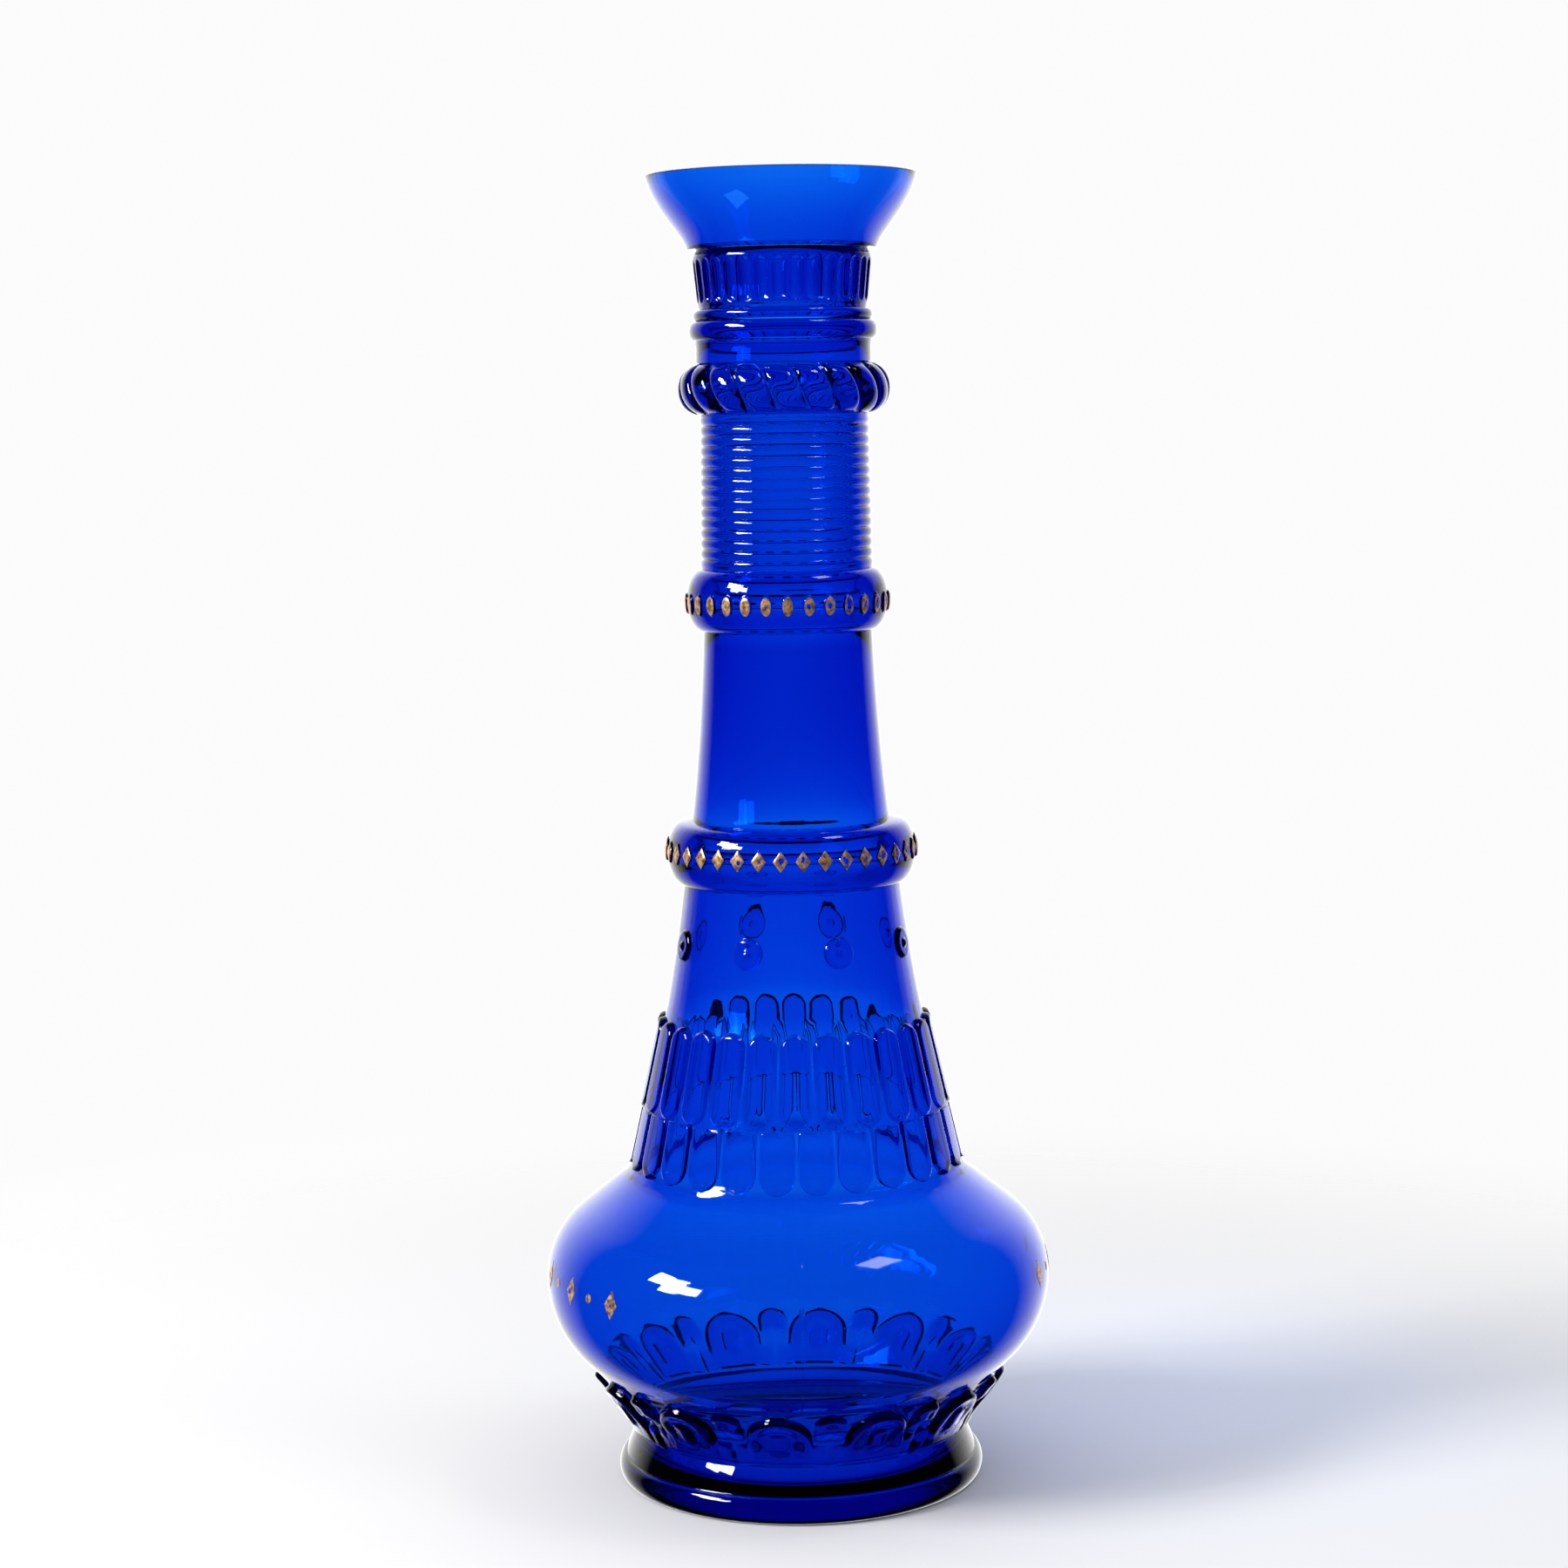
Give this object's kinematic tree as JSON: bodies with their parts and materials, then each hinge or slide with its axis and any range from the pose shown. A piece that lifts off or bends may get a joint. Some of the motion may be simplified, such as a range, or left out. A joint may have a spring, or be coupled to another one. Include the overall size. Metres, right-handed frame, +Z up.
{
  "type": "glass bottle",
  "caption": "Tall mould-blown cobalt glass bottle: flared mouth cup, fluted collar, ribbed neck, petalled skirt, round bulb in a leaf calyx and low foot.",
  "frame": {"origin": "centre of the foot's resting ring, on the table", "axes": "+Z up the bottle's axis from the foot to the mouth; -Y towards the pictured front"},
  "size_m": [0.1282, 0.1282, 0.33],
  "materials": {
    "cobalt_glass": "polished, deep cobalt blue"
  },
  "bodies": {
    "root": {"base_disc": "cobalt_glass", "foot_stem": "cobalt_glass", "leaf_calyx": "cobalt_glass", "bulb_lower": "cobalt_glass", "bulb_upper": "cobalt_glass", "lower_petal_skirt": "cobalt_glass", "upper_petal_skirt": "cobalt_glass", "roundel_cone": "cobalt_glass", "lozenge_ring": "cobalt_glass", "tower": "cobalt_glass", "oval_ring": "cobalt_glass", "ribbed_neck": "cobalt_glass", "rope_ring": "cobalt_glass", "plain_neck": "cobalt_glass", "large_bead": "cobalt_glass", "small_bead": "cobalt_glass", "fluted_collar": "cobalt_glass", "mouth_cup": "cobalt_glass"}
  },
  "joints": []
}
